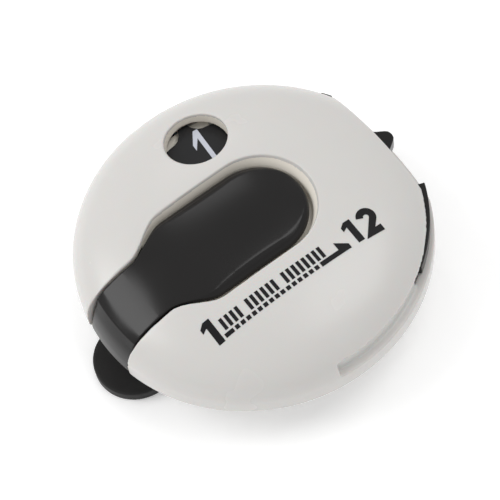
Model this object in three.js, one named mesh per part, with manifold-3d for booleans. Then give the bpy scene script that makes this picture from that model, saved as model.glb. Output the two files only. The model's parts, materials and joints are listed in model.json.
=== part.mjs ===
// Hand tally counter: a round counter that is pressed with the thumb, shows 1 to 12 in a window,
// and goes back to 1 when the nub on its rim is pushed. A spring clip on its back holds it on a belt.
//
// Millimetres. +Z points out of the face, +X from the lever's hinge towards the reset nub, and +Y towards
// the window. Z = 0 is the outer face of the clip, and X = Y = 0 is the middle of the round housing.
import * as THREE from "three";
import { mergeVertices } from "three/addons/utils/BufferGeometryUtils.js";
import Module from "manifold-3d";

const wasm = await Module();
wasm.setup();

// ---------------------------------------------------------------- driving dimensions
const GAP = 0.3; // clearance between neighbouring mouldings
const CLIP_THICKNESS = 1.8;
const BELT_GAP = 5.6;
const BASE = CLIP_THICKNESS + BELT_GAP; // Z of the housing's back face; heights below are above it
const NUB_END = 25.3; // half length of the housing towards the nub
const HINGE_END = 25.15; // half length towards the lever's hinge
const HALF_WIDTH = 24.9;
const BODY_HEIGHT = 10.3;
const SHOULDER = 2.5; // height where the straight side wall ends and the dome starts
const DOME_PLAN_POWER = 3;
const DOME_RISE_POWER = 2.2;
const WALL = 1.5;
const ROOF = 1.2;
const COVER_THICKNESS = 1.3;
const POSITIONS = 12; // numbers on the wheel
const STEP = (2 * Math.PI) / POSITIONS;

// reset slot in the side wall
const SLOT_LOW = 3.1;
const SLOT_HIGH = 5.4;
const SLOT_HALF_ANGLE = 72;
const GROOVE_HALF_ANGLE = 98;
const GROOVE_DEPTH = 1.1;
const NUB_FLAT = 22.25; // X of the thumb flat above the slot
const NUB_FLAT_RADIUS = 300;
const NUB_LEDGE = 23.8; // X of the ledge under the slot
const NUB_LEDGE_RADIUS = 60;
const NUB_WALL = 1.3; // wall behind the thumb flat

// count lever
const PAD_CENTRE = 1.4; // X of the centre of the pad's round end
const PAD_RADIUS = 7.25;
const PAD_START = -11.4; // X where the pad starts to narrow
const NECK_START = -16.6;
const NECK_HALF_WIDTH = 4.45;
const LEVER_UNDERSIDE = 8.45;
const LEVER_WALL = 1.5;
const LEVER_PIVOT = [-21.1, 2.4]; // X and height of the pin
const LEVER_SWING = THREE.MathUtils.degToRad(3.1);

// pocket that the lever sinks into
const POCKET_MOAT = 1.3;
const POCKET_FIT = 0.35;
const POCKET_FLOOR_END = -13.6;
const POCKET_FLOOR = 6.6; // height of the floor under the tip of the pad
const POCKET_FLOOR_THICKNESS = 0.6;
const POCKET_WALL = 1;

// window
const WINDOW_CENTRE = [2, 14.8];
const WINDOW_RADIUS = 4.45;
const WINDOW_TILT = 8; // degrees that the dome slopes at the window

// number wheel, which turns on an axis a little nearer the nub than the middle of the housing
const AXIS_X = 1.4;
const WHEEL_TOP = 6.3;
const WHEEL_THICKNESS = 0.95;
const WHEEL_ROOT = 17.7;
const WHEEL_TIP = 19.6;
const DISH_RADIUS = 10;
const DISH_TOP = 3.9;
const TOOTH_PHASE = THREE.MathUtils.degToRad(87.3); // the tooth that shows beside the 1
const AXLE_RADIUS = 1.5;
const RUNNING = 0.06; // radial clearance of what turns on the axle
const RATCHET_TIP = 3.9;
const RATCHET_ROOT = 3.15;

// drive arm and the finger that turns it
const ARM_TOP = 5.6;
const ARM_BOTTOM = 5.1;
const FINGER_X = [5.7, 6.9];
const RAMP_RADII = [4.1, 6];
const RAMP_LOW = 4.2;
const RAMP_SWEEP = THREE.MathUtils.degToRad(30.5);

// reset slider
const SLIDER_RADII = [20.4, 22.1];
const SLIDER_HALF_ANGLE = 53;
const EARS = [
  { angles: [-53, -21.5], radius: 24.9 },
  { angles: [25, 29], radius: 24.5 },
];

// belt clip
const CLIP_HALF_WIDTH = 5.95;
const CLIP_TAB_CENTRE = -21.5;
const CLIP_JAW_END = 18.6;
const CLIP_PIVOT = [-12, 4.6]; // X and Z of the pin
const PIN_RADIUS = 0.8;

// screws, by radius and angle in degrees
const SCREW_RADIUS = 21.5;
const SCREW_ANGLES = [88, 145, -145, -104];
const SCREW_HEAD = 1.65;
const SCREW_SEAT = 1.9; // radius of the seat and of the recess for the head
const SCREW_HOLE = 1.0;
const BOSS_RADIUS = 1.45;
const BOSS_FOOT = 2.7; // height where the housing's bosses meet the cover's screw seats

// ---------------------------------------------------------------- colours
const finishes = {
  white: { color: 0xe9e7e2, roughness: 0.32, metalness: 0 },
  black: { color: 0x1b1b1d, roughness: 0.35, metalness: 0 },
  natural: { color: 0xd9d4c4, roughness: 0.5, metalness: 0 },
  steel: { color: 0xb8babd, roughness: 0.3, metalness: 1 },
};

const part = new THREE.Group();

// ---------------------------------------------------------------- solids
// A closed three.js geometry as a manifold-3d solid that faces outwards.
function solid(geometry) {
  const bare = geometry.index ? geometry.toNonIndexed() : geometry.clone();
  bare.deleteAttribute("normal");
  bare.deleteAttribute("uv");
  const merged = mergeVertices(bare, 1e-4);
  const triVerts = new Uint32Array(merged.index.array);
  const mesh = { numProp: 3, vertProperties: merged.attributes.position.array, triVerts };
  const made = new wasm.Manifold(new wasm.Mesh(mesh));
  if (made.volume() > 0) return made;
  for (let i = 0; i < triVerts.length; i += 3) {
    [triVerts[i + 1], triVerts[i + 2]] = [triVerts[i + 2], triVerts[i + 1]];
  }
  return new wasm.Manifold(new wasm.Mesh({ ...mesh, triVerts }));
}

// Names a solid, gives it a finish and adds it to the part.
function add(name, finish, made) {
  const { numProp, numVert, vertProperties, triVerts } = made.getMesh();
  const position = new Float32Array(numVert * 3);
  for (let i = 0; i < numVert; i++) {
    position.set(vertProperties.subarray(i * numProp, i * numProp + 3), i * 3);
  }
  const geometry = new THREE.BufferGeometry();
  geometry.setAttribute("position", new THREE.BufferAttribute(position, 3));
  geometry.setIndex(new THREE.BufferAttribute(triVerts, 1));
  geometry.computeVertexNormals();
  const mesh = new THREE.Mesh(geometry, new THREE.MeshStandardMaterial(finishes[finish]));
  mesh.name = name;
  part.add(mesh);
}

const union = (...solids) => solids.reduce((a, b) => a.add(b));
const rad = THREE.MathUtils.degToRad;
const up = (made, height) => made.translate([0, 0, height]);
const onAxis = (made) => made.translate([AXIS_X, 0, 0]);
const vector = ([x, y]) => new THREE.Vector2(x, y);

function box([x0, x1], [y0, y1], [z0, z1]) {
  const geometry = new THREE.BoxGeometry(x1 - x0, y1 - y0, z1 - z0);
  return solid(geometry.translate((x0 + x1) / 2, (y0 + y1) / 2, (z0 + z1) / 2));
}

// An outline in X and Y, extruded from one height to another.
function prism(outline, [z0, z1]) {
  const shape = outline instanceof THREE.Shape ? outline : new THREE.Shape(outline.map(vector));
  const settings = { depth: z1 - z0, bevelEnabled: false, curveSegments: 24 };
  return solid(new THREE.ExtrudeGeometry(shape, settings).translate(0, 0, z0));
}

// An outline in X and Z, extruded along Y.
function sidePrism(outline, [y0, y1]) {
  const shape = new THREE.Shape(outline.map(vector));
  const geometry = new THREE.ExtrudeGeometry(shape, { depth: y1 - y0, bevelEnabled: false });
  return solid(geometry.rotateX(Math.PI / 2).translate(0, y1, 0));
}

// A profile of [radius, height] points turned about the Z axis.
function turned(profile, segments = 64) {
  return solid(new THREE.LatheGeometry(profile.map(vector), segments).rotateX(Math.PI / 2));
}

function disc(radius, [z0, z1], segments = 32) {
  return turned([[0, z0], [radius, z0], [radius, z1], [0, z1]], segments);
}

function ring(inner, outer, [z0, z1], segments = 48) {
  return turned([[inner, z0], [outer, z0], [outer, z1], [inner, z1], [inner, z0]], segments);
}

// A pin along Y, centred on X and Z.
function crossPin(radius, [x, z], [y0, y1], segments = 20) {
  const geometry = new THREE.CylinderGeometry(radius, radius, y1 - y0, segments);
  return solid(geometry.translate(x, (y0 + y1) / 2, z));
}

const polar = (radius, angle) => [radius * Math.cos(rad(angle)), radius * Math.sin(rad(angle))];

function arcPoints(radius, from, to, count) {
  return Array.from({ length: count + 1 }, (_, i) => polar(radius, from + ((to - from) * i) / count));
}

// A piece of a ring between two angles in degrees.
function sector([inner, outer], [from, to], heights, count = 16) {
  const outline = [...arcPoints(outer, from, to, count), ...arcPoints(inner, to, from, count)];
  return prism(outline, heights);
}

// A solid through rings of points that all have the same count; the first and last ring are capped.
function loft(rings) {
  const count = rings[0].length;
  const positions = rings.flat().flat();
  const index = [];
  for (let k = 0; k + 1 < rings.length; k++) {
    for (let i = 0; i < count; i++) {
      const j = (i + 1) % count;
      const [a, b, c, d] = [k * count + i, k * count + j, (k + 1) * count + j, (k + 1) * count + i];
      index.push(a, b, c, a, c, d);
    }
  }
  const cap = THREE.ShapeUtils.triangulateShape(rings[0].map(vector), []);
  const last = (rings.length - 1) * count;
  for (const [a, b, c] of cap) index.push(a, c, b, last + a, last + b, last + c);
  const geometry = new THREE.BufferGeometry();
  geometry.setAttribute("position", new THREE.BufferAttribute(new Float32Array(positions), 3));
  geometry.setIndex(index);
  return solid(geometry);
}

// A flat leaf on edge: a line in X and Y, thickened to both sides and extruded.
function strip(line, thickness, heights) {
  const side = (offset) => line.map(([x, y], i) => {
    const [x0, y0] = line[Math.max(0, i - 1)];
    const [x1, y1] = line[Math.min(line.length - 1, i + 1)];
    const length = Math.hypot(x1 - x0, y1 - y0);
    return [x - (offset * (y1 - y0)) / length, y + (offset * (x1 - x0)) / length];
  });
  return prism([...side(thickness / 2), ...side(-thickness / 2).reverse()], heights);
}

// A wire of round section along a list of points.
function wire(points, radius, steps, sides = 6) {
  const section = new THREE.Shape(arcPoints(radius, 0, 360 - 360 / sides, sides - 1).map(vector));
  const path = new THREE.CatmullRomCurve3(points.map((p) => new THREE.Vector3(...p)));
  return solid(new THREE.ExtrudeGeometry(section, { steps, bevelEnabled: false, extrudePath: path }));
}

// The housing is a little longer than it is wide, so what is turned for it is stretched in plan.
function toPlan(made) {
  return made.warp((v) => {
    v[0] *= v[0] > 0 ? 1 : HINGE_END / NUB_END;
    v[1] *= HALF_WIDTH / NUB_END;
  });
}

// Height of the dome above the back face, for a radius measured before the stretch to plan.
function domeHeight(radius, inset = 0) {
  const share = Math.min(1, radius / (NUB_END - inset));
  const rise = BODY_HEIGHT - SHOULDER - (inset ? ROOF : 0);
  return SHOULDER + rise * (1 - share ** DOME_PLAN_POWER) ** (1 / DOME_RISE_POWER);
}

// Outline of the lever in plan, grown by a margin that may differ round the pad.
function leverOutline(padMargin, neckMargin, tail) {
  const neck = NECK_HALF_WIDTH + neckMargin;
  const pad = PAD_RADIUS + padMargin;
  const curve = 8;
  const side = [];
  for (let i = 0; i <= curve; i++) {
    const share = i / curve;
    const eased = share * share * (3 - 2 * share);
    side.push([NECK_START + (PAD_START - NECK_START) * share, neck + (pad - neck) * eased]);
  }
  const end = arcPoints(pad, -90, 90, 16).map(([x, y]) => [PAD_CENTRE + x, y]);
  const lower = side.map(([x, y]) => [x, -y]);
  return [[tail, -neck], ...lower, ...end, ...side.reverse(), [tail, neck]];
}

// Height of the lever's top along its length, from the tip of the pad to the crease above the end wall.
const leverTop = [
  [8.7, 9.0], [7.8, 9.4], [6, 9.7], [2.5, 9.95], [-3, 10.05], [-8, 10.0],
  [-12, 9.7], [-16, 9.05], [-19, 8.2], [-21.4, 7.15], [-22.9, 6.15],
];
const leverEnd = [[-23.95, 4.2], [-24.6, 2.2], [-24.97, 0.3]];

const pocketTip = PAD_CENTRE + PAD_RADIUS + POCKET_MOAT;
const floorHeight = (x) => POCKET_FLOOR + (pocketTip - x) * Math.sin(LEVER_SWING);

// ---------------------------------------------------------------- housing
const screwPlaces = SCREW_ANGLES.map((angle) => polar(SCREW_RADIUS, angle));

function makeFrontShell() {
  const shoulderSteps = 14;
  const profile = [[0, 0], [NUB_END - 0.35, 0], [NUB_END, 0.35]];
  const inner = [[0, -1], [NUB_END - WALL, -1]];
  for (let i = 0; i <= shoulderSteps; i++) {
    const angle = (Math.PI / 2) * (1 - i / shoulderSteps);
    const outward = Math.sin(angle) ** (2 / DOME_PLAN_POWER);
    profile.push([NUB_END * outward, domeHeight(NUB_END * outward)]);
    inner.push([(NUB_END - WALL) * outward, domeHeight((NUB_END - WALL) * outward, WALL)]);
  }
  const body = toPlan(turned(profile, 64));
  const cavity = toPlan(turned(inner, 64)).subtract(box([NUB_FLAT - NUB_WALL, 40], [-30, 30], [-5, 30]));

  // The pocket is a tray hung from the dome, with a sloping floor and a moat round the pad.
  const floor = (margin, drop, top) => {
    const ends = [POCKET_FLOOR_END, 12];
    const low = ends.map((x) => [x, floorHeight(x) - drop]);
    return sidePrism([low[0], low[1], [ends[1], top], [ends[0], top]], [-margin, margin]);
  };
  const flare = (outline, z) => outline.map(([x, y]) => [x, y, z]);
  const neckWall = POCKET_FIT + POCKET_WALL;
  const pocketOuter = prism(leverOutline(1.2, neckWall, POCKET_FLOOR_END), [4, 8])
    .add(prism(leverOutline(POCKET_MOAT + POCKET_WALL, neckWall, POCKET_FLOOR_END), [7.6, 16]));
  const tray = pocketOuter.intersect(floor(12, POCKET_FLOOR_THICKNESS, 16)).intersect(body);
  const pocket = loft([
    flare(leverOutline(0.4, POCKET_FIT, -28), 5),
    flare(leverOutline(0.4, POCKET_FIT, -28), 8.2),
    flare(leverOutline(POCKET_MOAT, POCKET_FIT, -28), 9.8),
    flare(leverOutline(POCKET_MOAT + 0.5, POCKET_FIT, -28), 12),
  ]);
  const behindFloor = box([-30, POCKET_FLOOR_END], [-12, 12], [-5, 20]);
  const overFloor = pocket.intersect(union(floor(12, 0, 20), behindFloor));
  const channelHalf = NECK_HALF_WIDTH + POCKET_FIT;
  const channel = box([-30, -18.6], [-channelHalf, channelHalf], [-1, 14]);

  // A round hole square to the dome, for the window.
  const window = disc(WINDOW_RADIUS, [-4, 4], 40)
    .rotate([-WINDOW_TILT, 0, 0])
    .translate([...WINDOW_CENTRE, 9]);

  // Thumb flat, the ledge under it, and the slot that the reset slider reaches through.
  const beyond = (x, radius, [low, high]) => {
    const round = disc(radius, [low - 1, high + 1], 240).translate([x - radius, 0, 0]);
    return box([x - 3, 40], [-16, 16], [low, high]).subtract(round);
  };
  const slotHeights = [SLOT_LOW, SLOT_HIGH];
  const slot = sector([19, 30], [-SLOT_HALF_ANGLE, SLOT_HALF_ANGLE], slotHeights, 24);
  const groove = sector([19, 30], [-GROOVE_HALF_ANGLE, GROOVE_HALF_ANGLE], slotHeights, 30)
    .subtract(toPlan(disc(NUB_END - GROOVE_DEPTH, [0, 6], 64)));
  const fingerHole = box([FINGER_X[0] - GAP, FINGER_X[1] + GAP], [-1, 0.7], [5, 9]);

  const bosses = screwPlaces.map(([x, y]) => disc(BOSS_RADIUS, [BOSS_FOOT, 13], 20).translate([x, y, 0]));
  const wheelRoom = onAxis(disc(WHEEL_TIP + 0.4, [SLOT_LOW, WHEEL_TOP + 0.3], 64));
  const pilots = screwPlaces.map(([x, y]) => disc(SCREW_HOLE, [2, 5.9], 14).translate([x, y, 0]));
  return body
    .subtract(cavity)
    .subtract(wheelRoom)
    .add(union(...bosses).intersect(body))
    .add(tray)
    .subtract(overFloor)
    .subtract(channel)
    .subtract(window)
    .subtract(beyond(NUB_FLAT, NUB_FLAT_RADIUS, [SLOT_LOW, 20]))
    .subtract(beyond(NUB_LEDGE, NUB_LEDGE_RADIUS, [-1, SLOT_LOW]))
    .subtract(slot)
    .subtract(groove)
    .subtract(fingerHole)
    .subtract(union(...pilots));
}

function makeBackCover() {
  const beyondCover = box([NUB_FLAT - NUB_WALL - GAP, 40], [-30, 30], [-5, 15]);
  const inPlan = (inset, heights) => toPlan(disc(NUB_END - WALL - inset, heights, 64));
  const plate = inPlan(0.25, [0, COVER_THICKNESS])
    .subtract(beyondCover)
    .subtract(box([-30, -22.6], [-NECK_HALF_WIDTH - 0.6, NECK_HALF_WIDTH + 0.6], [-1, 5]))
    .subtract(box([-23, -18.9], [-4.5, 4.5], [0.6, 5]));
  const axleBoss = onAxis(disc(3.4, [0, 1.6], 24));
  const track = sector([18, 19], [-76, 76], [1, SLOT_HIGH - 0.3], 24);
  const shelf = sector([18.5, 22], [-74, 74], [1, SLOT_LOW - 0.1], 23);
  const screwSeats = screwPlaces.map(([x, y]) =>
    disc(SCREW_SEAT, [0, BOSS_FOOT - 0.2], 20).translate([x, y, 0]));
  const wheelStop = onAxis(sector([11.6, 13.2], [240, 260.5], [0.5, 4.9], 4));
  const springPost = disc(0.9, [0.5, 3.1], 14).translate([AXIS_X - 10.9, -1.2, 0]);
  const clickPost = sector([19.8, 21.1], [-94, -89], [0.5, 5.9], 2)
    .subtract(sector([20.25, 20.65], [-94.2, -80], [5.1, 7], 4));
  const resetStop = sector([20.4, 22], [72, 75.5], [0.5, 5], 2);
  const wheelRest = onAxis(sector([16.6, 19.5], [76, 112], [1, 5.2], 12));
  const leverEars = [-1, 1].map((side) => {
    const y = side > 0 ? [4.95, 6.2] : [-6.2, -4.95];
    const [x, z] = LEVER_PIVOT;
    return crossPin(1.35, [x, z], y).add(box([x - 1.25, x + 1.25], y, [0.6, z]));
  });
  const clipEars = [-1, 1].map((side) => {
    const y = side > 0 ? [4.3, 5.7] : [-5.7, -4.3];
    const [x, z] = [CLIP_PIVOT[0], CLIP_PIVOT[1] - BASE];
    return crossPin(1.7, [x, z], y).add(box([x - 1.6, x + 1.6], y, [z, 0.5]));
  });
  const fittings = union(
    axleBoss, track, shelf, ...screwSeats, wheelStop, springPost, clickPost, resetStop, wheelRest,
    ...leverEars, ...clipEars,
  ).intersect(inPlan(0.4, [-6, 12])).subtract(beyondCover);
  const screwHoles = screwPlaces.map(([x, y]) =>
    union(disc(SCREW_HOLE, [-1, 4], 14), disc(SCREW_SEAT, [-1, 1.2], 20)).translate([x, y, 0]));
  return plate
    .add(fittings)
    .subtract(union(...screwHoles))
    .subtract(onAxis(disc(AXLE_RADIUS + 0.02, [0.6, 5])))
    .subtract(crossPin(PIN_RADIUS + 0.05, LEVER_PIVOT, [-6, 6]))
    .subtract(crossPin(PIN_RADIUS + 0.05, [CLIP_PIVOT[0], CLIP_PIVOT[1] - BASE], [-8, 8]));
}

function makeScrew([x, y]) {
  const head = turned([[0, 0.1], [1.3, 0.1], [SCREW_HEAD, 0.5], [SCREW_HEAD, 1.1], [0, 1.1]], 20);
  const shank = turned([[0, 1], [0.9, 1], [0.9, 4.8], [0.3, 5.6], [0, 5.6]], 14);
  const cross = union(box([-1, 1], [-0.2, 0.2], [-1, 0.65]), box([-0.2, 0.2], [-1, 1], [-1, 0.65]));
  return head.add(shank).subtract(cross).translate([x, y, 0]);
}

// ---------------------------------------------------------------- number wheel
// A disc with twelve short flat-topped teeth, each blended into the rim by hollow flanks.
function makeNumberWheel() {
  const flank = [[0.04, 1], [0.062, 0.55], [0.1, 0.12], [0.135, 0]]; // angle and share of the rise
  const tooth = [...flank.map(([turn, rise]) => [-turn, rise]).reverse(), ...flank];
  const outline = [];
  for (let k = 0; k < POSITIONS; k++) {
    const middle = TOOTH_PHASE + k * STEP;
    for (const [turn, rise] of tooth) {
      const radius = WHEEL_ROOT + (WHEEL_TIP - WHEEL_ROOT) * rise;
      outline.push([radius * Math.cos(middle + turn), radius * Math.sin(middle + turn)]);
    }
  }
  const bottom = WHEEL_TOP - WHEEL_THICKNESS;
  const opening = disc(DISH_RADIUS, [bottom - 1, WHEEL_TOP + 1], 48);
  const rim = prism(outline, [bottom, WHEEL_TOP]).subtract(opening);
  const bore = AXLE_RADIUS + RUNNING;
  const underDish = DISH_TOP - 0.7;
  const outer = DISH_RADIUS + 0.9;
  const inner = DISH_RADIUS - 0.05;
  const dish = turned([
    [bore, underDish], [outer, underDish], [outer, bottom + 0.2],
    [inner, bottom + 0.2], [inner, DISH_TOP], [bore, DISH_TOP], [bore, underDish],
  ], 48);
  const lug = sector([11.7, 13.1], [263, 269.5], [bottom - 2.1, bottom + 0.3], 3);
  return onAxis(union(rim, dish, lug));
}

function makeRatchet() {
  const teeth = [];
  for (let k = 0; k < POSITIONS; k++) {
    const start = k * STEP;
    for (const [share, radius] of [[0, RATCHET_TIP], [0.04, RATCHET_ROOT], [0.5, RATCHET_ROOT + 0.35]]) {
      const angle = start - share * STEP;
      teeth.unshift([radius * Math.cos(angle), radius * Math.sin(angle)]);
    }
  }
  const outline = teeth.sort((a, b) => Math.atan2(a[1], a[0]) - Math.atan2(b[1], b[0]));
  const bore = disc(AXLE_RADIUS + RUNNING, [0, 9], 24);
  return onAxis(prism(outline, [DISH_TOP + 0.03, ARM_BOTTOM - 0.1]).subtract(bore));
}

function makeSpringHub() {
  const hub = ring(AXLE_RADIUS + RUNNING, 2.9, [1.95, DISH_TOP - 0.73], 28);
  return onAxis(hub.subtract(box([2.1, 4], [-0.25, 0.25], [1, 2.9])));
}

// A flat spiral of spring steel, from the hub's slot out to the post.
function makeReturnSpring() {
  const turns = 4.1;
  const steps = 72;
  const [inner, outer] = [3.3, 9.55];
  const line = Array.from({ length: steps + 1 }, (_, i) => {
    const share = i / steps;
    return polar(inner + (outer - inner) * share, -170 - 360 * turns * (1 - share));
  });
  return onAxis(strip(line, 0.28, [1.9, 3.0]));
}

// ---------------------------------------------------------------- drive
function makeDriveArm() {
  const middle = ring(AXLE_RADIUS + RUNNING, 3.1, [ARM_BOTTOM, ARM_TOP], 32);
  const spoke = sector([2.6, RAMP_RADII[0] + 0.2], [-36, 8], [ARM_BOTTOM + 0.05, ARM_TOP - 0.05], 9);
  const tail = sector([2.6, 6.2], [150, 190], [ARM_BOTTOM + 0.02, ARM_TOP - 0.05], 8);
  // The ramp climbs from its low end up to the place under the lever's finger.
  const bottom = RAMP_LOW - 0.2;
  const ramp = sector(RAMP_RADII, [-THREE.MathUtils.radToDeg(RAMP_SWEEP) - 6, 9], [0, 1], 15).warp((v) => {
    const climbed = 1 + Math.min(0, Math.atan2(v[1], v[0])) / RAMP_SWEEP;
    const height = RAMP_LOW + (ARM_TOP - RAMP_LOW) * Math.max(0, climbed);
    v[2] = bottom + (height - bottom) * v[2];
  });
  return onAxis(union(middle, spoke, tail, ramp));
}

// A bent leaf that hangs under the arm's tail and hooks behind a ratchet tooth.
function makePawlLeaf() {
  const foot = sector([5, 6.1], [151, 165], [ARM_BOTTOM - 0.25, ARM_BOTTOM - 0.02], 3);
  const leaf = strip([...arcPoints(5.5, 153, 112, 8), polar(4.35, 98)], 0.2, [4.1, ARM_BOTTOM - 0.1]);
  const knee = sector([5.4, 5.6], [148, 153], [4.1, ARM_BOTTOM - 0.02], 2);
  return onAxis(union(leaf, foot, knee));
}

// ---------------------------------------------------------------- count lever
function makeCountLever() {
  const topLine = [...leverTop, ...leverEnd];
  const underside = [
    [-23.8, 0.3], [-23.4, 2.2], [-22.8, 4], [-21.7, 5.4], [-20.2, 6.5], [-18, 7.5],
    [-14.2, LEVER_UNDERSIDE], [leverTop[0][0], LEVER_UNDERSIDE],
  ];
  const band = sidePrism([...topLine, ...underside], [-9, 9]);
  const plan = prism(leverOutline(0, 0, -27), [-1, 15]);
  const slab = band.intersect(plan);
  // The pad is hollow underneath.
  const hollow = prism(leverOutline(-LEVER_WALL, -LEVER_WALL, -14), [LEVER_UNDERSIDE - 1, 9])
    .intersect(box([-14, 5], [-9, 9], [0, 14]));
  const finger = box(FINGER_X, [-0.5, 0.2], [ARM_TOP + 0.45, 9]);
  const [px, pz] = LEVER_PIVOT;
  const lugs = [-1, 1].map((side) => {
    const y = side > 0 ? [2.8, 4.2] : [-4.2, -2.8];
    return crossPin(1.55, [px, pz], y).add(box([-24, px], y, [pz - 1.45, pz + 1.45]));
  });
  const crease = leverTop[leverTop.length - 1];
  const end = sidePrism([...leverEnd, ...underside.slice(0, 3), crease], [-9, 9]).intersect(plan);
  const inside = union(...lugs).subtract(box([-30, -23.5], [-9, 9], [-5, 12]));
  return union(slab.subtract(hollow), finger, end, inside)
    .subtract(crossPin(PIN_RADIUS + RUNNING, LEVER_PIVOT, [-5, 5]));
}

// ---------------------------------------------------------------- reset slider
function makeResetSlider() {
  const heights = [SLOT_LOW + 0.1, SLOT_HIGH - 0.15];
  const arc = sector(SLIDER_RADII, [-SLIDER_HALF_ANGLE, SLIDER_HALF_ANGLE], heights, 32);
  const ears = EARS.map(({ angles, radius }) => sector([SLIDER_RADII[1] - 0.2, radius], angles, heights, 10));
  // The nub is a rounded fin that the thumb pushes sideways.
  const half = [[21.5, 2.6], [22.4, 2.1], [23.3, 1.35], [24.2, 0.85], [24.6, 0.45]];
  const otherHalf = half.map(([x, y]) => [x, -y]);
  const fin = prism([...otherHalf, [24.7, 0], ...half.reverse()], heights);
  const cam = sector([20.72, 21.3], [-52.5, -49.5], [heights[1] - 0.2, 6.1], 2);
  return union(arc, ...ears, fin, cam);
}

// A leaf that drops its bent nose between two teeth of the number wheel.
function makeClickSpring() {
  const nose = [[20, -77.5], [18.7, -75.2], [18.15, -73.5], [18.7, -71.8], [20, -69.5]];
  const bent = nose.map(([radius, angle]) => polar(radius, angle));
  const line = [...arcPoints(20.45, -93, -80, 5), ...bent, ...arcPoints(20.5, -66.5, -50, 6)];
  return strip(line, 0.22, [5.4, 6.15]);
}

function makeResetSpring() {
  const turns = 9;
  const perTurn = 8;
  const radius = 0.62;
  const points = [];
  for (let i = 0; i <= turns * perTurn; i++) {
    const share = i / (turns * perTurn);
    const turn = (2 * Math.PI * i) / perTurn;
    const around = rad(54 + 17.2 * share);
    const r = 21.25 + radius * Math.cos(turn);
    const height = 4.15 + radius * Math.sin(turn);
    points.push([r * Math.cos(around), r * Math.sin(around), height]);
  }
  return wire(points, 0.14, turns * 8, 4);
}

// A torsion spring round a pin along Y, with one leg reaching out from each end.
function makeTorsionSpring([x, z], coilRadius, halfLength, wireRadius, legs) {
  const turns = 5;
  const perTurn = 10;
  const count = turns * perTurn;
  const [first, last] = legs;
  const points = [];
  for (let i = 0; i <= count; i++) {
    const share = i / count;
    const angle = rad(first.angle) + (rad(last.angle - first.angle) + 2 * Math.PI * turns) * share;
    const [across, rise] = [coilRadius * Math.cos(angle), coilRadius * Math.sin(angle)];
    points.push([x + across, halfLength * (2 * share - 1), z + rise]);
  }
  const leg = ({ end }, y) => [end[0], y, end[1]];
  return wire([leg(first, -halfLength), ...points, leg(last, halfLength)], wireRadius, 64, 5);
}

// ---------------------------------------------------------------- belt clip
function makeBeltClip() {
  const t = CLIP_THICKNESS;
  const jaw = BASE - GAP;
  const outside = [[-28, 0], [15.5, 0], [17.4, 0.9], [18.4, 2.7], [CLIP_JAW_END, 5], [18.3, 6.5], [17.3, jaw]];
  const inside = [[16.3, jaw], [16.1, 6.2], [16.7, 4.4], [16.2, 2.9], [15, t], [-28, t]];
  const plan = new THREE.Shape();
  plan.absarc(CLIP_TAB_CENTRE, 0, CLIP_HALF_WIDTH, Math.PI / 2, 1.5 * Math.PI, false);
  plan.lineTo(CLIP_JAW_END - 1.5, -CLIP_HALF_WIDTH);
  plan.lineTo(CLIP_JAW_END + 1, -CLIP_HALF_WIDTH + 2);
  plan.lineTo(CLIP_JAW_END + 1, CLIP_HALF_WIDTH - 2);
  plan.lineTo(CLIP_JAW_END - 1.5, CLIP_HALF_WIDTH);
  const body = sidePrism([...outside, ...inside], [-8, 8]).intersect(prism(plan, [-1, 9]));
  const ears = [-1, 1].map((s) => {
    const y = s > 0 ? [2.6, 4.0] : [-4.0, -2.6];
    const [x, z] = CLIP_PIVOT;
    return crossPin(1.7, [x, z], y).add(box([x - 1.6, x + 1.6], y, [t - 0.3, z]));
  });
  return union(body, ...ears).subtract(crossPin(PIN_RADIUS + RUNNING, CLIP_PIVOT, [-7, 7]));
}

// ---------------------------------------------------------------- assembly
add("front_shell", "white", up(makeFrontShell(), BASE));
add("back_cover", "white", up(makeBackCover(), BASE));
screwPlaces.forEach((place, i) => add(`cover_screw_${i + 1}`, "steel", up(makeScrew(place), BASE)));

const axleEnds = [0.65, 5.88];
add("axle_pin", "steel", up(onAxis(disc(AXLE_RADIUS, axleEnds)), BASE));
add("thrust_washer", "steel", up(onAxis(ring(AXLE_RADIUS + 0.08, 3.2, [1.63, 1.88])), BASE));
const retainer = ring(AXLE_RADIUS + 0.02, 2.6, [ARM_TOP + 0.05, ARM_TOP + 0.25]);
add("retaining_washer", "steel", up(onAxis(retainer), BASE));
add("number_wheel", "black", up(makeNumberWheel(), BASE));
add("ratchet_wheel", "natural", up(makeRatchet(), BASE));
add("spring_hub", "natural", up(makeSpringHub(), BASE));
add("return_spring", "steel", up(makeReturnSpring(), BASE));
add("click_spring", "steel", up(makeClickSpring(), BASE));

add("drive_arm", "natural", up(makeDriveArm(), BASE));
add("pawl_leaf", "steel", up(makePawlLeaf(), BASE));
add("count_lever", "black", up(makeCountLever(), BASE));
add("lever_pin", "steel", up(crossPin(PIN_RADIUS, LEVER_PIVOT, [-5.9, 5.9]), BASE));
const leverLegs = [{ angle: 60, end: [-20.2, 6.1] }, { angle: -60, end: [-16.6, 1.7] }];
add("lever_spring", "steel", up(makeTorsionSpring(LEVER_PIVOT, 1.15, 2.0, 0.22, leverLegs), BASE));

add("reset_slider", "black", up(makeResetSlider(), BASE));
add("reset_spring", "steel", up(makeResetSpring(), BASE));

add("belt_clip", "black", makeBeltClip());
add("clip_pin", "steel", crossPin(PIN_RADIUS, CLIP_PIVOT, [-5.7, 5.7]));
const clipLegs = [
  { angle: 120, end: [-16.5, BASE - 0.45] },
  { angle: 240, end: [-17, CLIP_THICKNESS + 0.4] },
];
add("clip_spring", "steel", makeTorsionSpring(CLIP_PIVOT, 1.25, 2.1, 0.25, clipLegs));

export default part;
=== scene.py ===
"""Looks of the hand tally counter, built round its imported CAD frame.

Lengths are in millimetres, and made() turns them into metres.
"""

import json
from math import cos, hypot, pi, radians, sin

import bpy
from mathutils import Matrix, Vector


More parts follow.
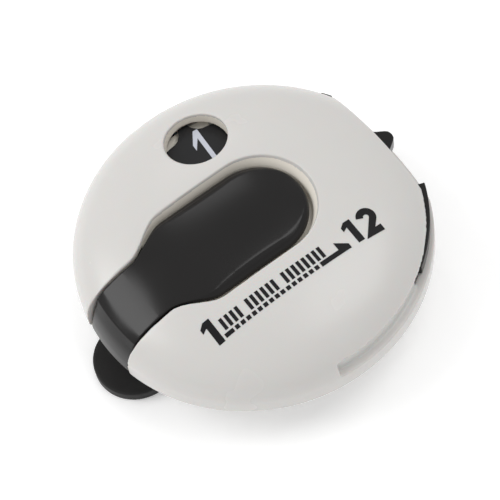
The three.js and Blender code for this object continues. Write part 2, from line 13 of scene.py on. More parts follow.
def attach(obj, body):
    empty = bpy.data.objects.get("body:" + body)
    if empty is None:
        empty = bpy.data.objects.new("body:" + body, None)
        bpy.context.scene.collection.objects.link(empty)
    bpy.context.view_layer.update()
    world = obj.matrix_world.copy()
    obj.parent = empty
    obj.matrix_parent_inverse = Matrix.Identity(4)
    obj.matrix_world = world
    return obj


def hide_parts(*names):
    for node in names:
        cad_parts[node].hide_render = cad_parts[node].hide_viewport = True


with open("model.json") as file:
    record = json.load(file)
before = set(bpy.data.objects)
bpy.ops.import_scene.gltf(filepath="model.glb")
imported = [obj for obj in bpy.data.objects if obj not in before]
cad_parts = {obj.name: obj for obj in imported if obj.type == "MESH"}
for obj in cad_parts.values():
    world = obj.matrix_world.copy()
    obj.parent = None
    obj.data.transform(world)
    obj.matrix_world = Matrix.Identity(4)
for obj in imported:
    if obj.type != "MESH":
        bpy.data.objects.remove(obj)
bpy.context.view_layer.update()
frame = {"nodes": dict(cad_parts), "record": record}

MM = 0.001
STEPS = 192  # steps round a full turn
AXIS_SKIN = 0.001  # radius at which turned solids are closed

# ---------------------------------------------------------------- driving dimensions
BASE = 7.4  # Z of the housing's back face; heights are above it
NUB_END, HINGE_END, HALF_WIDTH = 25.28, 25.12, 24.88
BODY_HEIGHT, SHOULDER = 10.28, 2.5
DOME_PLAN_POWER, DOME_RISE_POWER = 3.0, 2.2
WALL, ROOF = 1.5, 1.2
ROOM_TOP = 6.6  # of the space that the wheel turns in
SLOT_LOW, SLOT_HIGH = 3.1, 5.4
SLOT_ANGLES, GROOVE_HALF_ANGLE = (-57.5, 72), 98
GROOVE_DEPTH = 1.3
PAINTED_LIGHT_RADIUS, PAINTED_LIGHT_DEPTH = 21, 0.5  # within this radius and below this depth the shell is painted a brighter cream, as painted light
NUB_FLAT, NUB_FLAT_RADIUS = 22.25, 300
NUB_LEDGE, NUB_LEDGE_RADIUS = 23.8, 60
NUB_WALL = 1.3
SLIDER_RADII, SLIDER_ANGLE = (20.42, 22.08), 53
SLIDER_PLAY_BELOW, SLIDER_PLAY_ABOVE = 0.12, 0.17
EAR_ROOT = 21.5
EARS = ((-53, -21.5, 24.15, 24.95), (25, 29, 24.5, 24.4))  # angles, and the radius at each

PAD_CENTRE, PAD_RADIUS, PAD_START = 1.4, 7.25, -9.6
NECK_START, NECK_HALF_WIDTH = -16.6, 4.45
LEVER_UNDERSIDE = 8.45
RIM_BULGE = 0.38  # how far the end wall falls back from its middle to its sides
END_WALL_START, END_WALL_BLEND = -21.5, 2
CROWN = 0.5  # how far the lever falls from its middle line to its sides
CROWN_BLEND = 1.2  # height over which the crown sets in
POCKET_MOAT, POCKET_FIT = 1.3, 0.35
POCKET_FLOOR, POCKET_FLOOR_SLOPE, POCKET_FLOOR_END = 6.6, 0.0541, -13.6
POCKET_TIP, POCKET_FLOOR_THICKNESS, POCKET_WALL = 9.95, 0.6, 1.0
CHANNEL_START = -18.6  # from here out to the rim the lever runs in an open channel

WINDOW_X, WINDOW_Y, WINDOW_RADIUS, WINDOW_TILT = 1.95, 14.9, 4.62, 8
COLLAR_WALL, COLLAR_FOOT, COLLAR_SHIFT = 0.9, 6.65, 0.25

AXIS_X = 1.4
WHEEL_TOP, WHEEL_BOTTOM = 6.29, 5.37
WHEEL_ROOT, WHEEL_TIP = 17.6, 19.3
DISH_RADIUS, DISH_TOP, DISH_FLOOR, DISH_RIM, DISH_WALL = 10.0, 3.9, 0.68, 5.6, 0.8
WHEEL_BORE = 1.56
# heights, angles and radii of the sheet of painted light laid on the wheel's rest
REST_LOW, REST_HIGH, REST_ANGLES, REST_RADII = 5.19, 5.31, (76, 112), (16.7, 19.4)
POSITIONS = 12
TOOTH_PHASE, DIGIT_PHASE = 87.3, 85.4
DIGIT_FOOT = 12.1  # radius of the foot of the numbers
DIGIT_HEIGHT, PAIR_HEIGHT, DIGIT_WEIGHT = 5.8, 4.8, 0.7  # PAIR_HEIGHT is for 10 to 12

CLIP_THICKNESS, CLIP_HALF_WIDTH, CLIP_TAB_CENTRE, CLIP_JAW_END = 1.8, 5.94, -21.5, 18.58
CLIP_PIVOT = (-12, 4.6)  # X and Z of the pin


# ---------------------------------------------------------------- mesh helpers
def made(name, vertices, faces, lift=BASE):
    """A mesh object from millimetre points; lift is the Z that its heights count from."""
    mesh = bpy.data.meshes.new(name)
    mesh.from_pydata([(x * MM, y * MM, (z + lift) * MM) for x, y, z in vertices], [], faces)
    mesh.update()
    piece = bpy.data.objects.new(name, mesh)
    bpy.context.scene.collection.objects.link(piece)
    return piece


def stacked(name, rings, lift=BASE):
    """A closed solid through rings of points that all have the same count."""
    count = len(rings[0])
    vertices = [point for ring in rings for point in ring]
    faces = [tuple(range(count))[::-1]]
    for k in range(len(rings) - 1):
        for i in range(count):
            j = (i + 1) % count
            faces.append((k * count + i, k * count + j, (k + 1) * count + j, (k + 1) * count + i))
    last = (len(rings) - 1) * count
    faces.append(tuple(range(last, last + count)))
    return made(name, vertices, faces, lift)


def prism(name, outline, low, high, lift=BASE):
    """An outline in X and Y, run along Z."""
    return stacked(name, [[(x, y, z) for x, y in outline] for z in (low, high)], lift)


def side_prism(name, outline, y0, y1, lift=BASE):
    """An outline in X and Z, run along Y."""
    return stacked(name, [[(x, y, z) for x, z in outline] for y in (y1, y0)], lift)


def turned(name, profile, steps=STEPS, stretch=None, centre=(0, 0), lift=BASE):
    """A profile of (radius, height) turned about Z and closed flat at both ends."""
    rings = []
    for radius, height in profile:
        ring = []
        for i in range(steps):
            angle = 2 * pi * i / steps
            x, y = radius * cos(angle), radius * sin(angle)
            if stretch:
                x, y = stretch(x, y)
            ring.append((x + centre[0], y + centre[1], height))
        rings.append(ring)
    return stacked(name, rings, lift)


def disc(name, radius, low, high, steps=STEPS, stretch=None, centre=(0, 0), lift=BASE):
    """A round solid between two heights."""
    profile = [(AXIS_SKIN, low), (radius, low), (radius, high), (AXIS_SKIN, high)]
    return turned(name, profile, steps, stretch, centre, lift)


def box(name, xs, ys, zs, lift=BASE):
    return prism(name, [(xs[0], ys[0]), (xs[1], ys[0]), (xs[1], ys[1]), (xs[0], ys[1])], *zs, lift)


def polar(radius, degrees, centre=(0, 0)):
    """The point at a radius and an angle round a centre."""
    angle = radians(degrees)
    return centre[0] + radius * cos(angle), centre[1] + radius * sin(angle)


def arc(radius, start, end, count, centre=(0, 0)):
    """Points of an arc between two angles in degrees."""
    return [polar(radius, start + (end - start) * i / count, centre) for i in range(count + 1)]


def sector(name, inner, outer, start, end, low, high, count=60, centre=(0, 0)):
    """Part of a ring between two angles in degrees."""
    outline = arc(outer, start, end, count, centre) + arc(inner, end, start, count, centre)
    return prism(name, outline, low, high)


def copied(piece):
    """A copy of a piece with a mesh of its own."""
    twin = piece.copy()
    twin.data = piece.data.copy()
    bpy.context.scene.collection.objects.link(twin)
    return twin


def combine(target, tool, operation):
    """Booleans target with tool, and removes the tool."""
    change = target.modifiers.new("boolean", "BOOLEAN")
    change.operation = operation
    change.solver = "MANIFOLD"
    change.object = tool
    bake(target)
    bpy.data.objects.remove(tool)
    return target


def cut(target, tool):
    return combine(target, tool, "DIFFERENCE")


def join(target, tool):
    return combine(target, tool, "UNION")


def common(target, tool):
    return combine(target, tool, "INTERSECT")


def bake(piece):
    """Applies a piece's modifiers to its mesh."""
    bpy.context.view_layer.update()
    shown = piece.evaluated_get(bpy.context.evaluated_depsgraph_get())
    mesh = bpy.data.meshes.new_from_object(shown)
    piece.modifiers.clear()
    piece.data = mesh


def softened(piece, voxel, rounds, factor=0.5):
    """Moulded edges: an even mesh over the solid, relaxed until the sharp edges are round."""
    even = piece.modifiers.new("even", "REMESH")
    even.mode = "VOXEL"
    even.voxel_size = voxel * MM
    relax = piece.modifiers.new("relax", "SMOOTH")
    relax.iterations = rounds
    relax.factor = factor
    bake(piece)
    piece.data.shade_smooth()
    return piece


def finished(piece, name, material, body, nodes=()):
    """Names a piece, gives it its material, and fixes it to its CAD body."""
    piece.name = name
    piece.data.name = name
    piece.data.materials.clear()
    piece.data.materials.append(material)
    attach(piece, body)
    for node in nodes:
        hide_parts(node)
    return piece


# ---------------------------------------------------------------- materials
def plastic(name, light, dark, roughness, grain=0.0, spread=0.04, coat=0.0, scatter=0.0, specular=0.5):
    """A moulded plastic whose colour and gloss drift a little, with a fine grain if it is matt."""
    material = bpy.data.materials.new(name)
    material.use_nodes = True
    nodes, links = material.node_tree.nodes, material.node_tree.links
    shader = nodes["Principled BSDF"]
    place = nodes.new("ShaderNodeTexCoord")
    drift = nodes.new("ShaderNodeTexNoise")
    drift.inputs["Scale"].default_value = 90
    drift.inputs["Detail"].default_value = 3
    links.new(place.outputs["Object"], drift.inputs["Vector"])
    tint = nodes.new("ShaderNodeValToRGB")
    tint.color_ramp.elements[0].position = 0.1
    tint.color_ramp.elements[0].color = (*dark, 1)
    tint.color_ramp.elements[1].position = 0.9
    tint.color_ramp.elements[1].color = (*light, 1)
    links.new(drift.outputs["Fac"], tint.inputs["Fac"])
    links.new(tint.outputs["Color"], shader.inputs["Base Color"])
    gloss = nodes.new("ShaderNodeMapRange")
    gloss.inputs["To Min"].default_value = roughness - spread
    gloss.inputs["To Max"].default_value = roughness + spread
    links.new(drift.outputs["Fac"], gloss.inputs["Value"])
    links.new(gloss.outputs["Result"], shader.inputs["Roughness"])
    shader.inputs["Specular IOR Level"].default_value = specular
    shader.inputs["Coat Weight"].default_value = coat
    shader.inputs["Coat Roughness"].default_value = 0.08
    shader.inputs["Subsurface Weight"].default_value = scatter
    shader.inputs["Subsurface Scale"].default_value = 0.002
    if grain:
        fine = nodes.new("ShaderNodeTexNoise")
        fine.inputs["Scale"].default_value = 4000
        links.new(place.outputs["Object"], fine.inputs["Vector"])
        bump = nodes.new("ShaderNodeBump")
        bump.inputs["Strength"].default_value = grain
        bump.inputs["Distance"].default_value = 0.00005
        links.new(fine.outputs["Fac"], bump.inputs["Height"])
        links.new(bump.outputs["Normal"], shader.inputs["Normal"])
    return material


def steel(name):
    material = plastic(name, (0.62, 0.63, 0.65), (0.5, 0.51, 0.53), 0.28, spread=0.08)
    material.node_tree.nodes["Principled BSDF"].inputs["Metallic"].default_value = 1
    return material


WHITE = plastic("white_plastic", (0.625, 0.612, 0.592), (0.605, 0.592, 0.572), 0.26,
                scatter=0.1, specular=0.4)
# Brighter cream, as painted light: it stands in for light reaching the window's wall, the pocket and the rest
# under the wheel, which the render leaves in shade.
PAINTED_LIGHT = plastic("painted_light_cream", (0.9, 0.85, 0.76), (0.88, 0.83, 0.74), 0.45, specular=0.3)
CREAM = plastic("natural_plastic", (0.72, 0.69, 0.6), (0.66, 0.63, 0.55), 0.45)
BLACK = plastic("black_lever", (0.0098, 0.009, 0.0088), (0.0078, 0.0072, 0.007), 0.21, specular=0.3)
DISC = plastic("black_wheel", (0.012, 0.012, 0.013), (0.008, 0.008, 0.009), 0.35, specular=0.3)
MATT = plastic("black_clip", (0.013, 0.0125, 0.0125), (0.010, 0.0095, 0.0095), 0.5, grain=0.4, specular=0.25)
INK = plastic("black_ink", (0.014, 0.013, 0.014), (0.009, 0.009, 0.01), 0.4, specular=0.12)
NUMERAL = plastic("white_ink", (0.56, 0.585, 0.65), (0.5, 0.525, 0.6), 0.45)
STEEL = steel("spring_steel")


# ---------------------------------------------------------------- housing
def to_plan(x, y):
    """The housing is a little longer than it is wide."""
    return x * (1 if x > 0 else HINGE_END / NUB_END), y * HALF_WIDTH / NUB_END


def plan_radius(x, y):
    """The radius of a point once the plan's stretch is taken out."""
    return hypot(x if x > 0 else x * NUB_END / HINGE_END, y * NUB_END / HALF_WIDTH)


def dome(radius, reach=NUB_END, top=BODY_HEIGHT):
    """Height of the dome at a radius in the unstretched plan."""
    share = min(1.0, radius / reach)
    return SHOULDER + (top - SHOULDER) * (1 - share**DOME_PLAN_POWER) ** (1 / DOME_RISE_POWER)


def dome_profile(reach, top, count):
    """Points of (radius, height) up the dome, with closer steps near its rim."""
    points = []
    for i in range(count):
        outward = cos(pi / 2 * i / count) ** (2 / DOME_PLAN_POWER)
        points.append((reach * outward, dome(reach * outward, reach, top)))
    return points


def lever_outline(pad_margin, neck_margin, tail, steps=14):
    """The spoon's outline, grown by a margin that may differ round the pad and along the neck."""
    neck, pad = NECK_HALF_WIDTH + neck_margin, PAD_RADIUS + pad_margin
    lower = []
    for i in range(steps + 1):
        share = i / steps
        flare = share * share * (3 - 2 * share)
        lower.append((NECK_START + (PAD_START - NECK_START) * share, -neck - (pad - neck) * flare))
    upper = [(x, -y) for x, y in reversed(lower)]
    return [(tail, -neck)] + lower + arc(pad, -90, 90, 48, (PAD_CENTRE, 0)) + upper + [(tail, neck)]


def make_shell():
    rim = [(AXIS_SKIN, 0), (NUB_END - 0.5, 0), (NUB_END - 0.15, 0.15), (NUB_END, 0.5)]
    outside = rim + dome_profile(NUB_END, BODY_HEIGHT, 60) + [(AXIS_SKIN, BODY_HEIGHT)]
    shell = turned("shell", outside, stretch=to_plan)
    inside = [(AXIS_SKIN, -1), (NUB_END - WALL, -1)] + dome_profile(NUB_END - WALL, BODY_HEIGHT - ROOF, 40)
    cavity = turned("cavity", inside + [(AXIS_SKIN, BODY_HEIGHT - ROOF)], stretch=to_plan)
    cut(cavity, box("keep", (NUB_FLAT - NUB_WALL, 40), (-30, 30), (-5, 30)))
    solid = copied(shell)
    cut(shell, cavity)
    cut(shell, disc("room", WHEEL_TIP + 0.4, SLOT_LOW, ROOM_TOP, centre=(AXIS_X, 0)))

    # The tray that the lever sinks into, and the space over it with a flared edge round the pad.
    def above_floor(drop, top):
        back_end, front_end = POCKET_FLOOR_END, 12
        low_back, low_front = [POCKET_FLOOR + POCKET_FLOOR_SLOPE * (POCKET_TIP - x) - drop
                               for x in (back_end, front_end)]
        outline = [(back_end, low_back), (front_end, low_front), (front_end, top), (back_end, top)]
        return side_prism("floor", outline, -12, 12)

    tray_plan = lever_outline(POCKET_MOAT + POCKET_WALL, POCKET_FIT + POCKET_WALL, POCKET_FLOOR_END)
    tray = prism("tray", tray_plan, 5, 16)
    common(tray, above_floor(POCKET_FLOOR_THICKNESS, 16))
    common(tray, copied(solid))
    join(shell, tray)
    # Each ring of the pocket: margin round the pad, margin along the neck, reach beyond the tip, height.
    flare = [(0.45, POCKET_FIT, 0, 5), (0.45, POCKET_FIT, 0, 8.2), (0.6, POCKET_FIT + 0.05, 0.3, 9.0),
             (0.8, POCKET_FIT + 0.1, 0.6, 9.8), (1.2, POCKET_FIT + 0.3, 0.9, 12)]
    rings = []
    for pad, neck, reach, height in flare:
        rings.append([(x + reach * max(0, min(1, (x + 6) / 8)), y, height)
                      for x, y in lever_outline(pad, neck, -28)])
    pocket = stacked("pocket", rings)
    above = join(above_floor(0, 20), box("behind", (-30, POCKET_FLOOR_END + 0.01), (-12, 12), (-5, 20)))
    cut(shell, common(pocket, above))
    channel = NECK_HALF_WIDTH + POCKET_FIT
    cut(shell, box("channel", (-30, CHANNEL_START), (-channel, channel), (-1, 14)))

    # A collar under the window reaches down to just over the wheel.
    collar = disc("collar", WINDOW_RADIUS + COLLAR_WALL, COLLAR_FOOT, 12, 96,
                  centre=(WINDOW_X, WINDOW_Y + COLLAR_SHIFT))
    join(shell, common(collar, solid))
    # The window is square to the dome, with a small bevel round its edge.
    profile = [(AXIS_SKIN, -4), (WINDOW_RADIUS - 0.1, -4), (WINDOW_RADIUS - 0.1, -0.35),
               (WINDOW_RADIUS + 0.35, 0.3), (WINDOW_RADIUS + 0.6, 3), (AXIS_SKIN, 3)]
    window = turned("window", profile, 96, lift=0)
    slope = Matrix.Rotation(radians(-WINDOW_TILT), 4, "X")
    centre = Vector((WINDOW_X, WINDOW_Y, BASE + dome(plan_radius(WINDOW_X, WINDOW_Y)))) * MM
    window.data.transform(Matrix.Translation(centre) @ slope)
    cut(shell, window)

    # Flat for the thumb over the slot, the ledge under it, the slot, and the groove that runs on from it.
    def beyond(x, radius, low, high):
        """All that lies past a wall of this radius, which crosses the X axis at x."""
        piece = box("beyond", (x - 3, 40), (-18, 18), (low, high))
        return cut(piece, disc("round", radius, low - 1, high + 1, 720, centre=(x - radius, 0)))

    cut(shell, beyond(NUB_FLAT, NUB_FLAT_RADIUS, SLOT_LOW, 20))
    cut(shell, beyond(NUB_LEDGE, NUB_LEDGE_RADIUS, -1, SLOT_LOW + 0.01))
    cut(shell, sector("slot", 19, 30, *SLOT_ANGLES, SLOT_LOW, SLOT_HIGH))
    groove = sector("groove", 19, 30, -GROOVE_HALF_ANGLE, GROOVE_HALF_ANGLE, SLOT_LOW, SLOT_HIGH, 90)
    cut(shell, cut(groove, disc("core", NUB_END - GROOVE_DEPTH, 0, 7, stretch=to_plan)))
    softened(shell, 0.16, 5)
    finished(shell, "housing_shell", WHITE, "housing", ["front_shell"])
    # Inside the window and the pocket the shell is painted a brighter cream: painted light that stands in for
    # light reaching these recessed walls, which the render leaves in shade. A sheet painted the same way lies
    # on the rest under the wheel.
    shell.data.materials.append(PAINTED_LIGHT)
    for face in shell.data.polygons:
        x, y, z = face.center / MM
        radius = plan_radius(x, y)
        if radius < PAINTED_LIGHT_RADIUS and dome(radius) - (z - BASE) > PAINTED_LIGHT_DEPTH:
            face.material_index = 1
    # A thin sheet of painted light: bright cream laid on the rest under the wheel, where the render would
    # leave it in shade.
    rest = sector("rest", *REST_RADII, *REST_ANGLES, REST_LOW, REST_HIGH, 30, (AXIS_X, 0))
    finished(rest, "wheel_rest_painted_light", PAINTED_LIGHT, "housing")


# ---------------------------------------------------------------- lever
LEVER_CREASE = (-22.9, 6.1)
LEVER_TOP = [(8.7, 8.9), (8.2, 9.25), (7.2, 9.55), (5.5, 9.8), (2.5, 9.98), (-3, 10.05), (-8, 9.95),
             (-12, 9.65), (-16, 9.0), (-19, 8.15), (-21.4, 7.1), LEVER_CREASE, (-23.95, 4.2),
             (-24.6, 2.2), (-24.95, 0.32)]
LEVER_INSIDE = [(-23.8, 0.32), (-23.4, 2.2), (-22.8, 4), (-21.7, 5.4), (-20.2, 6.5), (-18, 7.5),
                (-14.2, LEVER_UNDERSIDE), (8.7, LEVER_UNDERSIDE)]


def eased(points, pieces=8):
    """A smooth line through points (a Catmull-Rom spline)."""
    line = []
    for i in range(len(points) - 1):
        p0, p1 = Vector(points[max(0, i - 1)]), Vector(points[i])
        p2, p3 = Vector(points[i + 1]), Vector(points[min(len(points) - 1, i + 2)])
        for k in range(pieces):
            t = k / pieces
            straight = 2 * p1 + (p2 - p0) * t
            bend = (2 * p0 - 5 * p1 + 4 * p2 - p3) * t**2 + (3 * p1 - p0 - 3 * p2 + p3) * t**3
            line.append(0.5 * (straight + bend))
    return line + [Vector(points[-1])]


def make_lever():
    crease = LEVER_TOP.index(LEVER_CREASE)
    outside = eased(LEVER_TOP[:crease + 1]) + eased(LEVER_TOP[crease:])[1:]
    lever = side_prism("lever", outside + LEVER_INSIDE, -9, 9)
    rings = []
    for inset, height in ((0, -1), (0, 8.95), (0.2, 9.35), (0.75, 9.75), (1.6, 10.1), (1.6, 15)):
        rings.append([(x, y, height) for x, y in lever_outline(-inset, 0, -27)])
    common(lever, stacked("plan", rings))
    softened(lever, 0.12, 6)
    for vertex in lever.data.vertices:
        # The end wall follows the round rim, and the pad is crowned.
        wall = max(0, min(1, (END_WALL_START - vertex.co.x / MM) / END_WALL_BLEND))
        vertex.co.x += wall * RIM_BULGE * MM * (vertex.co.y / MM / NECK_HALF_WIDTH) ** 2
        height = vertex.co.z / MM - BASE
        if height > LEVER_UNDERSIDE:
            share = min(1, (height - LEVER_UNDERSIDE) / CROWN_BLEND)
            vertex.co.z -= share * CROWN * MM * (vertex.co.y / MM / PAD_RADIUS) ** 2
    return finished(lever, "thumb_lever", BLACK, "lever", ["count_lever"])


# ---------------------------------------------------------------- number wheel
def make_wheel():
    # Each tooth: degrees from its middle, and share of its height.
    flank = [(-7.7, 0), (-5.6, 0.12), (-3.4, 0.5), (-2.5, 0.85), (-2.1, 1), (2.1, 1), (2.5, 0.85), (3.4, 0.5),
             (5.6, 0.12), (7.7, 0)]
    outline = []
    for k in range(POSITIONS):
        middle = TOOTH_PHASE + k * 360 / POSITIONS
        for turn, rise in flank:
            outline.append(polar(WHEEL_ROOT + (WHEEL_TIP - WHEEL_ROOT) * rise, middle + turn, (AXIS_X, 0)))
        outline += arc(WHEEL_ROOT, middle + 9, middle + 21, 5, (AXIS_X, 0))
    wheel = prism("wheel", outline, WHEEL_BOTTOM, WHEEL_TOP)
    axis = (AXIS_X, 0)
    cut(wheel, disc("hole", DISH_RADIUS, 3, 8, 128, centre=axis))
    dish = disc("dish", DISH_RADIUS + DISH_WALL, DISH_TOP - DISH_FLOOR, DISH_RIM, 128, centre=axis)
    cut(dish, disc("well", DISH_RADIUS - 0.05, DISH_TOP, 8, 128, centre=axis))
    cut(dish, disc("bore", WHEEL_BORE, 2, 8, 64, centre=axis))
    join(wheel, dish)
    bevel = wheel.modifiers.new("edge", "BEVEL")
    bevel.width = 0.08 * MM
    bevel.segments = 2
    bevel.limit_method = "ANGLE"
    bake(wheel)
    return finished(wheel, "numbered_wheel", DISC, "wheel", ["number_wheel"])


def curve(cx, cy, rx, ry, start, end, count=16):
    """Part of an ellipse between two angles in degrees."""
    return [(cx + rx * x, cy + ry * y) for x, y in arc(1, start, end, count)]


# Middle lines of the digits' strokes, in a box 4 wide and 6 tall.
DIGITS = {
    "0": [curve(2, 3, 1.5, 2.6, 90, 450, 28)],
    "2": [curve(2, 4.2, 1.5, 1.45, 165, -35) + [(0.55, 0.4), (3.7, 0.4)]],
    "3": [curve(2, 4.3, 1.35, 1.3, 150, -90) + curve(2, 1.7, 1.5, 1.3, 90, -150)],
    "4": [[(2.8, 0), (2.8, 5.6), (0.4, 1.7), (3.8, 1.7)]],
    "5": [[(3.4, 5.6), (0.9, 5.6), (0.75, 3.2)] + curve(2, 2.0, 1.55, 1.6, 140, -150)],
    "6": [curve(2, 1.9, 1.5, 1.5, 0, 360, 24), [(0.5, 1.9), (0.75, 3.9), (2.9, 5.7)]],
    "7": [[(0.5, 5.6), (3.5, 5.6), (1.4, 0)]],
    "8": [curve(2, 4.35, 1.25, 1.25, 0, 360, 22), curve(2, 1.6, 1.5, 1.3, 0, 360, 24)],
    "9": [curve(2, 4.1, 1.5, 1.5, 0, 360, 24), [(3.5, 4.1), (3.25, 2.1), (1.1, 0.3)]],
}


def straight_one(stem, drop):
    """The 1 as two bands with straight ends: its head, with a flag that hangs by drop, and its stem."""
    left, right, top = 3.0 - stem, 3.0, 5.9
    neck, tip = top - 1.4, left - 1.2
    head = ([(tip, top - drop + 1.1), (left, top), (right, top)],
            [(tip, top - drop), (left, neck), (right, neck)])
    stem_band = ([(left, neck), (left, 0)], [(right, neck), (right, 0)])
    return [head, stem_band]


def ribbon(line, width):
    """Left and right edges of a band that follows a line, with its corners mitred."""
    left, right = [], []
    for i, (x, y) in enumerate(line):
        before = Vector(line[max(0, i - 1)])
        after = Vector(line[min(len(line) - 1, i + 1)])
        here = Vector((x, y))
        into = (here - before).normalized() if i else (after - here).normalized()
        out = (after - here).normalized() if i < len(line) - 1 else into
        mid = (into + out).normalized()
        normal = Vector((-mid.y, mid.x))
        reach = width / 2 / max(0.45, mid.dot(into))
        left.append(here + normal * reach)
        right.append(here - normal * reach)
    return left, right


def printed(name, shapes, place, material, body):
    """Flat bands of ink laid on a surface: place turns a flat point into a point on that surface."""
    vertices, faces = [], []
    strips, pieces = 6, 6
    for left, right in shapes:
        for k in range(len(left) - 1):
            for i in range(pieces):
                for j in range(strips):
                    corners = []
                    for along, across in ((i, j), (i + 1, j), (i + 1, j + 1), (i, j + 1)):
                        a = left[k].lerp(left[k + 1], along / pieces)
                        b = right[k].lerp(right[k + 1], along / pieces)
                        corners.append(place(*b.lerp(a, across / strips)))
                    start = len(vertices)
                    vertices += corners
                    faces.append((start, start + 1, start + 2, start + 3))
    piece = made(name, vertices, faces)
    weld = piece.modifiers.new("weld", "WELD")
    weld.merge_threshold = 0.002 * MM
    thick = piece.modifiers.new("ink", "SOLIDIFY")
    thick.thickness = 0.02 * MM
    thick.offset = 1
    bake(piece)
    return finished(piece, name, material, body)


def written(text, size, weight, spacing, drop=2.0):
    """Bands for a number, centred, with its foot on y = 0; size is the height of the digits' box."""
    shapes = []
    scale = size / 6
    for index, letter in enumerate(text):
        shift = (index - (len(text) - 1) / 2) * spacing
        if letter == "1":
            bands = straight_one(weight / scale, drop)
        else:
            bands = [ribbon(line, weight / scale) for line in DIGITS[letter]]
        for band in bands:
            shapes.append([[Vector(((shift + x - 2) * scale, y * scale)) for x, y in edge] for edge in band])
    return shapes


def make_numbers():
    for k in range(POSITIONS):
        turn = radians(DIGIT_PHASE - 90 - k * 360 / POSITIONS)
        text = str(k + 1)

        def place(x, y, turn=turn):
            outward = y + DIGIT_FOOT
            across = AXIS_X + x * cos(turn) - outward * sin(turn)
            return across, x * sin(turn) + outward * cos(turn), WHEEL_TOP + 0.01

        size = DIGIT_HEIGHT if len(text) == 1 else PAIR_HEIGHT
        bands = written(text, size, DIGIT_WEIGHT, spacing=4.0, drop=3.2)
        printed(f"wheel_number_{text}", bands, place, NUMERAL, "wheel")


# ---------------------------------------------------------------- print on the dome
TEXT_LINE = -12.9  # Y of the foot of the print; its heights are above this line
BAR_START, BAR_WIDTH, BAR_PITCH, BAR_COUNT = -12.5, 0.5, 0.86, 20
BAR_LOW, BAR_HIGH = 0.95, 2.7
BAR_GAPS = (4, 11)  # bars that are left out
DOT_START, DOT_WIDTH, DOT_PITCH, DOT_COUNT = -11.3, 0.62, 0.95, 15
DOT_LOW, DOT_HIGH = 0.05, 0.65


def on_dome(x, y):
    """The point just over the dome at a place of the plan."""
    return x, y, dome(plan_radius(x, y)) + 0.03


def slab(start, width, low, high):
    """An upright bar of ink."""
    middle = start + width / 2
    return ribbon([(middle, TEXT_LINE + low), (middle, TEXT_LINE + high)], width)


def wedge(upper, lower):
    """A band between two edges, each from left to right."""
    return [[Vector((x, TEXT_LINE + y)) for x, y in edge] for edge in (upper, lower)]


def make_print():
    def placed(shapes, dx, dy):
        return [([p + Vector((dx, dy)) for p in left], [p + Vector((dx, dy)) for p in right])
                for left, right in shapes]

    one = placed(written("1", 3.9, 1.0, 4), -14.0, TEXT_LINE - 0.1)
    twelve = placed(written("12", 3.65, 1.0, 4.5), 10.9, TEXT_LINE)
    bars = [slab(BAR_START + BAR_PITCH * i, BAR_WIDTH, BAR_LOW, BAR_HIGH)
            for i in range(BAR_COUNT) if i not in BAR_GAPS]
    dots = [slab(DOT_START + DOT_PITCH * i, DOT_WIDTH, DOT_LOW, DOT_HIGH) for i in range(DOT_COUNT)]
    dots.append(slab(-13, 1.4, DOT_LOW, DOT_HIGH))
    ramp = [wedge([(3.0, 0.7), (7.9, 0.7)], [(3.0, 0), (7.9, 0)]),
            wedge([(6.2, 1.9), (7.9, 0.7)], [(6.2, 0.7), (7.85, 0.7)])]
    prints = {"print_first": one, "print_last": twelve, "print_bars": bars, "print_dots": dots,
              "print_ramp": ramp}
    for name, shapes in prints.items():
        printed(name, shapes, on_dome, INK, "housing")


# ---------------------------------------------------------------- reset slider and clip
def make_reset():
    low, high = SLOT_LOW + SLIDER_PLAY_BELOW, SLOT_HIGH - SLIDER_PLAY_ABOVE
    slider = sector("slider", *SLIDER_RADII, -SLIDER_ANGLE, SLIDER_ANGLE, low, high)
    steps = 40
    for start, end, first_radius, last_radius in EARS:
        rim = []
        for i in range(steps + 1):
            share = i / steps
            radius = first_radius + (last_radius - first_radius) * share
            rim.append(polar(radius, start + (end - start) * share))
        join(slider, prism("ear", rim + arc(EAR_ROOT, end, start, steps), low, high))
    half = [(EAR_ROOT, -2.6), (22.4, -2.3), (23.2, -1.65), (24.1, -1.05), (24.55, -0.6), (24.68, 0)]
    join(slider, prism("nub", half + [(x, -y) for x, y in reversed(half[:-1])], low, high))
    softened(slider, 0.1, 4)
    return finished(slider, "reset_slide", BLACK, "reset", ["reset_slider"])


def make_clip():
    t, jaw = CLIP_THICKNESS, BASE - 0.32
    outside = [(-28, 0.02), (15.5, 0.02), (17.4, 0.9), (18.4, 2.7), (CLIP_JAW_END, 5), (18.3, 6.5),
               (17.3, jaw)]
    inside = [(16.3, jaw), (16.1, 6.2), (16.7, 4.4), (16.2, 2.9), (15, t), (-28, t)]
    clip = side_prism("clip", outside + inside, -8, 8, lift=0)
    tab = arc(CLIP_HALF_WIDTH, 90, 270, 48, (CLIP_TAB_CENTRE, 0))
    end, side = CLIP_JAW_END, CLIP_HALF_WIDTH
    corners = [(end - 1.5, -side), (end + 1, -side + 2), (end + 1, side - 2), (end - 1.5, side)]
    common(clip, prism("plan", tab + corners, -1, 9, lift=0))
    lug = arc(1.7, 0, 180, 24, CLIP_PIVOT) + [(-13.7, t - 0.3), (-10.3, t - 0.3)]
    for y0, y1 in ((-4.0, -2.6), (2.6, 4.0)):
        join(clip, side_prism("lug", lug, y0, y1, lift=0))
    cut(clip, side_prism("bore", arc(0.86, 0, 345, 23, CLIP_PIVOT), -7, 7, lift=0))
    softened(clip, 0.13, 4)
    return finished(clip, "belt_clip_body", MATT, "clip", ["belt_clip"])


# ---------------------------------------------------------------- the CAD pieces that show as they are
def finish_cad():
    """Gives every CAD piece the material of its slot."""
    looks = {"steel": STEEL, "natural_plastic": CREAM, "gloss_black": BLACK, "clip_black": MATT,
             "housing_white": WHITE}
    for part in frame["record"]["subparts"]:
        piece = frame["nodes"][part["node"]]
        piece.data.materials.clear()
        piece.data.materials.append(looks[part["material_slot"]])


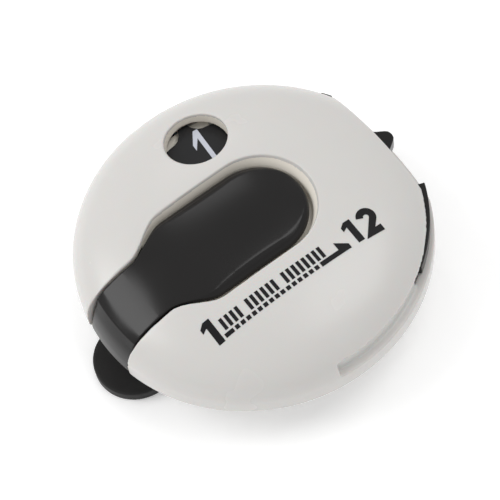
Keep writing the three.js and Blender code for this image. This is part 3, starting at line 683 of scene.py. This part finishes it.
# ---------------------------------------------------------------- stage
def make_stage():
    """A white floor under an even white sky."""
    floor = made("floor", [(-2000, -2000, 0), (2000, -2000, 0), (2000, 2000, 0), (-2000, 2000, 0)],
                 [(0, 1, 2, 3)], lift=-0.05)
    paint = plastic("floor_paint", (0.97, 0.97, 0.97), (0.96, 0.96, 0.96), 0.8)
    shader = paint.node_tree.nodes["Principled BSDF"]
    shader.inputs["Emission Color"].default_value = (1, 1, 1, 1)
    shader.inputs["Emission Strength"].default_value = 0.2
    floor.data.materials.append(paint)
    world = bpy.data.worlds.new("studio")
    bpy.context.scene.world = world
    world.use_nodes = True
    sky = world.node_tree.nodes["Background"]
    sky.inputs["Color"].default_value = (1, 1, 1, 1)
    sky.inputs["Strength"].default_value = 0.66
    bpy.context.scene.view_settings.view_transform = "Standard"


def softbox(name, place, target, width, height, power):
    """An area light in metres and watts that faces its target."""
    lamp = bpy.data.lights.new(name, "AREA")
    lamp.shape = "RECTANGLE"
    lamp.size, lamp.size_y, lamp.energy = width, height, power
    holder = bpy.data.objects.new(name, lamp)
    bpy.context.scene.collection.objects.link(holder)
    holder.location = place
    holder.rotation_euler = (Vector(target) - Vector(place)).to_track_quat("-Z", "Y").to_euler()


# The camera looks down on the face: how the housing leans, where its high side is, and how it is turned.
LEAN, BEARING, TURN = 30.0, 101.34, 26.76
CAMERA_DISTANCE = 300.0
CAMERA_AIM = (0.10, -3.40)
CAMERA_FOCAL = 158.3
AIM_HEIGHT = 14.4


def make_camera():
    """Places the camera, and returns the directions of its right, its top and its back."""
    lean, bearing, turn = radians(LEAN), radians(BEARING), radians(TURN)
    face = Vector((sin(lean) * cos(bearing), sin(lean) * sin(bearing), cos(lean)))
    level = Vector((sin(bearing), -cos(bearing), 0))
    steep = face.cross(level)
    along = cos(turn) * level + sin(turn) * steep
    across = -sin(turn) * level + cos(turn) * steep
    axes = Matrix((along, across, face))
    right, up, back = axes.col[0], axes.col[1], axes.col[2]
    lens = bpy.data.cameras.new("camera")
    lens.lens = CAMERA_FOCAL
    lens.clip_start, lens.clip_end = 0.01, 10
    camera = bpy.data.objects.new("camera", lens)
    bpy.context.scene.collection.objects.link(camera)
    place = Vector((0, 0, AIM_HEIGHT)) + CAMERA_DISTANCE * back + CAMERA_AIM[0] * right + CAMERA_AIM[1] * up
    camera.matrix_world = Matrix.Translation(place * MM) @ axes.to_4x4()
    bpy.context.scene.camera = camera
    return right, up, back


make_shell()
make_lever()
make_wheel()
make_numbers()
make_print()
make_reset()
make_clip()
finish_cad()
make_stage()
right, up, back = make_camera()
middle = Vector((0, 0, 0.012))  # of the object, in metres
softbox("key", middle + 0.16 * right + 0.34 * up + 0.42 * back, middle, 0.3, 0.3, 0.7)
softbox("neck_light", Vector((-0.34, 0.27, 0.415)), middle, 0.34, 0.3, 1.25)
softbox("tip_light", Vector((0.135, 0.4, 0.425)), middle, 0.12, 0.12, 0.09)
